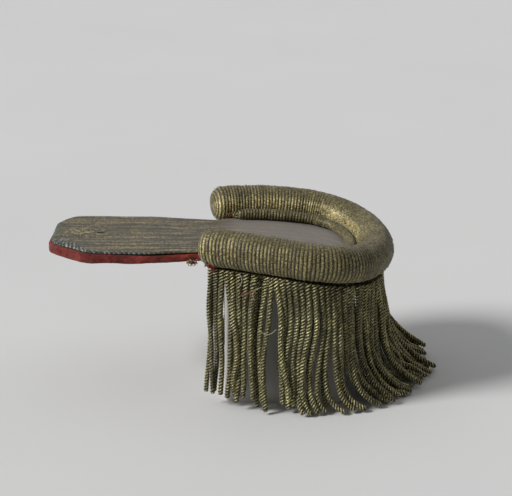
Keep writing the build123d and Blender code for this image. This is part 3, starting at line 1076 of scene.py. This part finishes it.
# Threads in front of the fringe, by rows of x, distance in front of the strands, and height
FRONT_LOOPS = [
    [(-20.6, 1.8, 68.6), (-19.4, 2.5, 66.6), (-19.9, 2.8, 64.4), (-21.0, 2.6, 62.8)],
    [(-10.6, 1.8, 63.0), (-13.0, 2.6, 62.2), (-14.5, 2.8, 59.8), (-13.6, 2.6, 56.6)],
    [(-12.0, 2.0, 42.8), (-9.0, 2.8, 40.8), (-6.2, 2.6, 41.0), (-3.6, 2.2, 43.2)],
]
Tuft = namedtuple("Tuft", "x y z spread count length")
OLIVE_TUFTS = [
    Tuft(-43.9, -27.3, 68.2, (1.9, 0.5, 0.5), 40, 2.0),
    Tuft(-25.4, 25.6, 74.8, (2.0, 0.9, 1.0), 46, 3.0),
]
RED_TUFTS = [
    Tuft(-34.3, -38.6, 70.6, (1.4, 0.5, 0.5), 70, 1.1),
    Tuft(-33.0, -38.3, 68.8, (0.4, 0.4, 0.8), 24, 1.0),
    Tuft(-28.6, 25.8, 74.4, (1.0, 0.6, 0.6), 30, 1.0),
    Tuft(-43.4, -27.4, 68.4, (1.4, 0.4, 0.4), 36, 0.9),
]
RUST_TUFTS = [Tuft(-18.0, -45.4, 60.2, (3.2, 0.3, 0.5), 12, 3.0)]


def tuft_paths(tufts, bend, rng):
    """Curly threads round the middle of each tuft."""
    paths = []
    for tuft in tufts:
        for _ in range(tuft.count):
            start = np.array(tuft[:3]) + rng.normal(size=3) * tuft.spread * 0.6
            paths.append(curl(start, rng.normal(size=3), tuft.length * rng.uniform(0.5, 1.2), bend, rng))
    return paths


def loop_paths():
    """Smooth curves of the threads in front of the fringe."""
    runs = np.linspace(-half_run(HEAD_OFFSET), -60, 400)
    across = plan(runs, HEAD_OFFSET)[0]
    loops = []
    for loop in FRONT_LOOPS:
        points = []
        for x, out, z in loop:
            _, y, _ = plan(np.interp(x, across, runs), HEAD_OFFSET + STRAND_RADIUS + out)
            points.append((x, y[0], z))
        loops.append(resample(np.array(points), 0.4))
    return loops


def straw_paths(rng, count=80):
    """Wavy threads worked loose on the strap's end, clear of its edge and of the slit."""
    straws = []
    for _ in range(count):
        x, y = rng.normal((-99.0, 1.8), (5.5, 3.4))
        s = np.arange(0, rng.uniform(1.5, 6.0), 0.35)
        ripple = rng.uniform(0.2, 0.9) * np.sin(2 * np.pi * s / rng.uniform(1.5, 4) + rng.uniform(0, 6.3))
        slope = rng.normal(0, 0.35)
        lift = 0.12 + 0.14 * np.sin(np.pi * s / max(s[-1], 0.5))
        straw = np.stack([x + s, y + slope * s + ripple, height(x + s) + lift], -1)
        clear = np.min(np.hypot(straw[:, 0] - SLOT_X, 1.6 * (straw[:, 1] - SLOT_Y))) > 2.4
        if clear and straw[0, 0] > COLLAR_X + 3:
            straws.append(straw)
    return straws


def make_loose_threads():
    """Threads and wool worked loose at the strap, the arms' ends and the front of the fringe."""
    rng = np.random.default_rng(77)
    threads("pale_threads", loop_paths(), 0.16, PALE_THREAD, ("fringe",))
    threads("rust_threads", tuft_paths(RUST_TUFTS, 0.35, rng), 0.17, RUST_THREAD, ("fringe",))
    threads("olive_threads", tuft_paths(OLIVE_TUFTS, 0.5, rng), 0.16, OLIVE_THREAD, ("strap_lace",))
    threads("red_tufts", tuft_paths(RED_TUFTS, 0.3, rng), 0.26, RED, ("cloth_backing",))
    threads("straw_threads", straw_paths(rng), 0.1, STRAW_THREAD, ("strap_lace",))


make_loose_threads()

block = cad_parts["support_block"]
block.data.materials.clear()
block.data.materials.append(block_material())


# Stage


def make_floor():
    """A plain pale floor."""
    made, tree, shader = material("pale_floor", roughness=0.9)
    patches = noise(tree, 6, 2)
    shade = ramp(tree, patches, [(0.3, linear(206, 206, 205)), (0.7, linear(209, 209, 208))])
    tree.links.new(shade, shader.inputs["Base Color"])
    bpy.ops.mesh.primitive_plane_add(size=12)
    floor = bpy.context.object
    floor.name = "floor"
    floor.data.materials.append(made)


def make_lights():
    """Soft key light from the front left, wide light from above, and a dim world."""
    suns = [("key", (-0.717, -0.358, 0.598), 16, 2.95), ("sky", (-0.3, 0.35, 1.0), 120, 1.05)]
    for name, way, angle, strength in suns:
        lamp = bpy.data.lights.new(name, "SUN")
        lamp.angle, lamp.energy = np.radians(angle), strength
        holder = linked(name, lamp)
        holder.rotation_euler = Vector([-v for v in way]).to_track_quat("-Z", "Y").to_euler()
    world = bpy.data.worlds.new("studio")
    world.use_nodes = True
    background = world.node_tree.nodes["Background"]
    background.inputs["Color"].default_value = (0.92, 0.94, 1.0, 1)
    background.inputs["Strength"].default_value = 0.1
    bpy.context.scene.world = world
    bpy.context.scene.view_settings.view_transform = "Standard"


def make_camera():
    """The photograph's view, fitted to outline points."""
    azimuth, elevation, distance = np.radians(2.21), np.radians(18.5), 1.0
    back = np.array([
        np.sin(azimuth) * np.cos(elevation), -np.cos(azimuth) * np.cos(elevation), np.sin(elevation)
    ])
    aim = np.array([-14.77, 0.0, 66.6]) * MM
    lens = bpy.data.cameras.new("view")
    lens.lens, lens.sensor_width = 147.84, 36.0
    camera = linked("view", lens)
    camera.location = aim + back * distance
    camera.rotation_euler = Vector((-back).tolist()).to_track_quat("-Z", "Y").to_euler()
    bpy.context.scene.camera = camera


make_floor()
make_lights()
make_camera()
